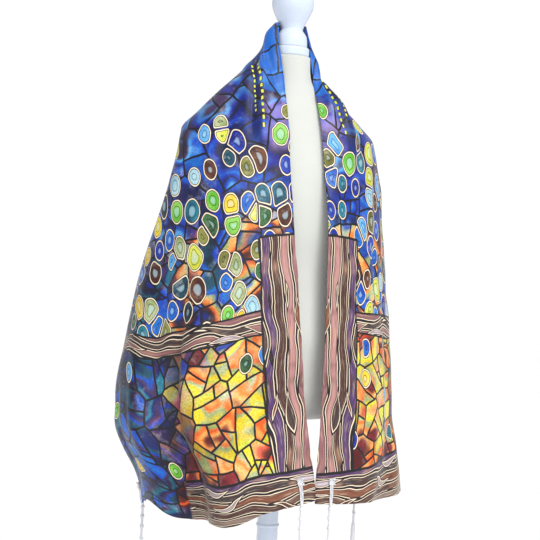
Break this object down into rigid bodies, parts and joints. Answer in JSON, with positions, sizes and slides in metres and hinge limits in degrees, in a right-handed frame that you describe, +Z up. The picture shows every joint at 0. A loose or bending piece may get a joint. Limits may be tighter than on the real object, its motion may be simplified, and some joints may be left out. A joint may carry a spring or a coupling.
{
  "type": "tallit prayer shawl on a dress form",
  "caption": "Rectangular prayer shawl draped as an open-fronted cape with a knotted tassel at each corner, on a limbless dress form with a ball finial and pole stand.",
  "frame": {"origin": "on the floor, at the centre of the base's underside, under the form's axis", "axes": "+Z up along the pole, -Y towards the open front of the garment, +X towards the wearer's left"},
  "size_m": [0.5555, 0.4155, 1.546],
  "materials": {
    "printed_silk": "satin silk printed in many colours",
    "tassel_yarn": "matt plied yarn",
    "form_jersey": "fine matt jersey",
    "white_paint": "turned wood in glossy white paint"
  },
  "bodies": {
    "root": {"tallit_cloth": "printed_silk", "tzitzit_right_front": "tassel_yarn", "tzitzit_right_side": "tassel_yarn", "tzitzit_left_front": "tassel_yarn", "tzitzit_left_side": "tassel_yarn", "form_torso": "form_jersey", "form_neck_disc": "white_paint", "form_finial": "white_paint", "stand_pole": "white_paint", "stand_base": "white_paint"}
  },
  "joints": []
}
